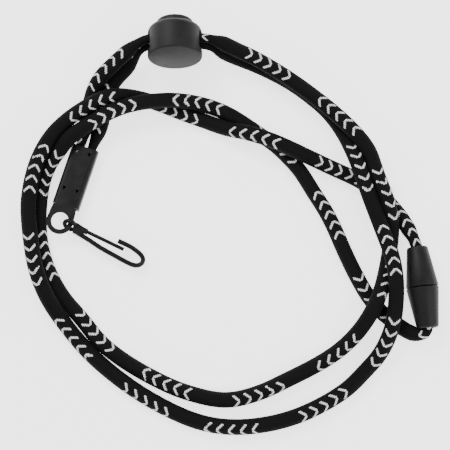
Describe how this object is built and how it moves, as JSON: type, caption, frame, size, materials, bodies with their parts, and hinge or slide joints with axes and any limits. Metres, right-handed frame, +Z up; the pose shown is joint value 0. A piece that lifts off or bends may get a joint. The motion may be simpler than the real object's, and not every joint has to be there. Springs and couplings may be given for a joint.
{
  "type": "neck lanyard",
  "caption": "Adjustable breakaway neck lanyard: woven cord strands from a folded steel clip through a spring cord lock to a pull-apart barrel, with a snap hook on the clip's ring.",
  "frame": {"origin": "centre of the fittings' box (clip, hook, lock and breakaway), on the surface that the lanyard lies on", "axes": "+Z up from the surface, +Y from the hook's side towards the cord lock, +X towards the breakaway"},
  "size_m": [0.1473, 0.1485, 0.0207],
  "materials": {
    "woven_cord": "black woven polyester cord with a white woven pattern",
    "painted_steel": "black painted sheet steel, satin",
    "black_plastic": "black moulded plastic, satin",
    "bright_steel": "bright spring wire"
  },
  "bodies": {
    "lanyard": {"cord_strand_a": "woven_cord", "cord_strand_b": "woven_cord", "crimp_plate": "painted_steel", "breakaway_socket_half": "black_plastic", "cord_stop_a": "woven_cord"},
    "hook": {"hook_frame": "painted_steel"},
    "gate": {"hook_gate": "painted_steel"},
    "cord_lock": {"lock_body": "black_plastic", "lock_spring": "bright_steel"},
    "lock_button": {"lock_plunger": "black_plastic"},
    "breakaway_plug": {"breakaway_plug_half": "black_plastic", "cord_stop_b": "woven_cord"}
  },
  "joints": [
    {"name": "hook_swing", "type": "hinge", "parent": "lanyard", "child": "hook", "pos_m": [-0.06464, -0.01741, 0.0047], "axis": [0, 0, 1], "range_deg": [-36, 20]},
    {"name": "gate_press", "type": "hinge", "parent": "hook", "child": "gate", "pos_m": [-0.05592, -0.02084, 0.00404], "axis": [0.0642, -0.0273, 0.9976], "range_deg": [-4.5, 0], "stiffness_Nm_per_rad": 0.3},
    {"name": "lock_slide", "type": "slide", "parent": "lanyard", "child": "cord_lock", "axis": [0.9998, 0.0174, 0], "range_m": [-0.002, 0.002], "deforming": ["cord_strand_a", "cord_strand_b"]},
    {"name": "button_press", "type": "slide", "parent": "cord_lock", "child": "lock_button", "axis": [0.0173, -0.9913, 0.1305], "range_m": [0, 0.0011], "stiffness_N_per_m": 800, "deforming": ["lock_spring"]},
    {"name": "breakaway_pull", "type": "slide", "parent": "lanyard", "child": "breakaway_plug", "axis": [0.1054, -0.9944, 0], "range_m": [0, 0.008], "deforming": ["cord_strand_b"]}
  ]
}
